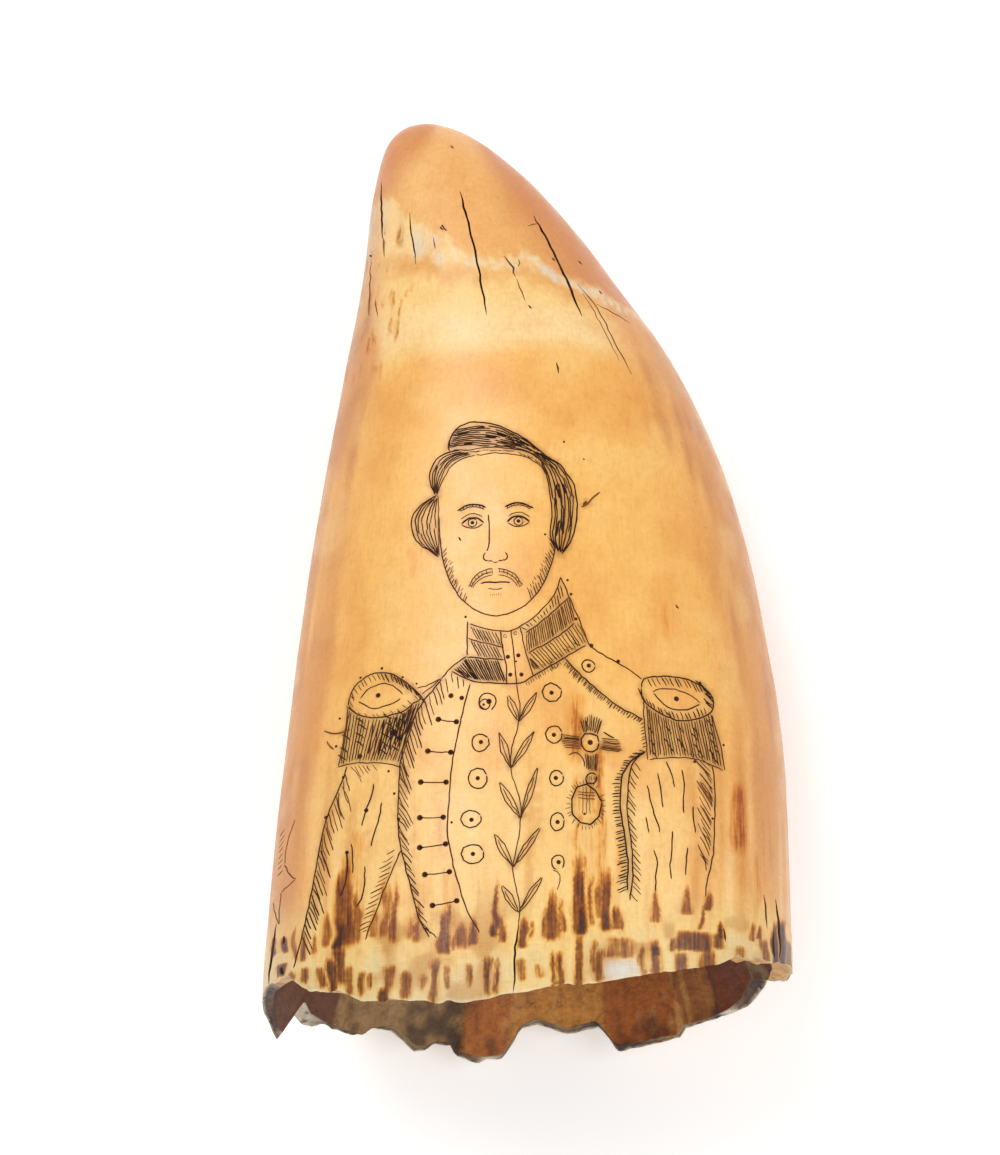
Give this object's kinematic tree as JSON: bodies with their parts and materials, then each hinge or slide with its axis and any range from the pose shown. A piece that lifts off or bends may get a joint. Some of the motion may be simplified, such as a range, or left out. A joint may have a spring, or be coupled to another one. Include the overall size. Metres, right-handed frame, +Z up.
{
  "type": "scrimshaw whale tooth",
  "caption": "Loose curved whale tooth, hollow at its broken root and pointed at its tip, with an engraved and inked figure on its upper face.",
  "frame": {"origin": "bottom centre of the bounding box: the small flat spot on the tooth's back lies at Z = 0", "axes": "+Z up, out of the engraved face; +Y along the length towards the tip; +X to the right of the engraved face with the tip away from the viewer"},
  "size_m": [0.0776, 0.142, 0.056],
  "materials": {
    "ivory": "satin"
  },
  "bodies": {
    "root": {"tooth": "ivory"}
  },
  "joints": []
}
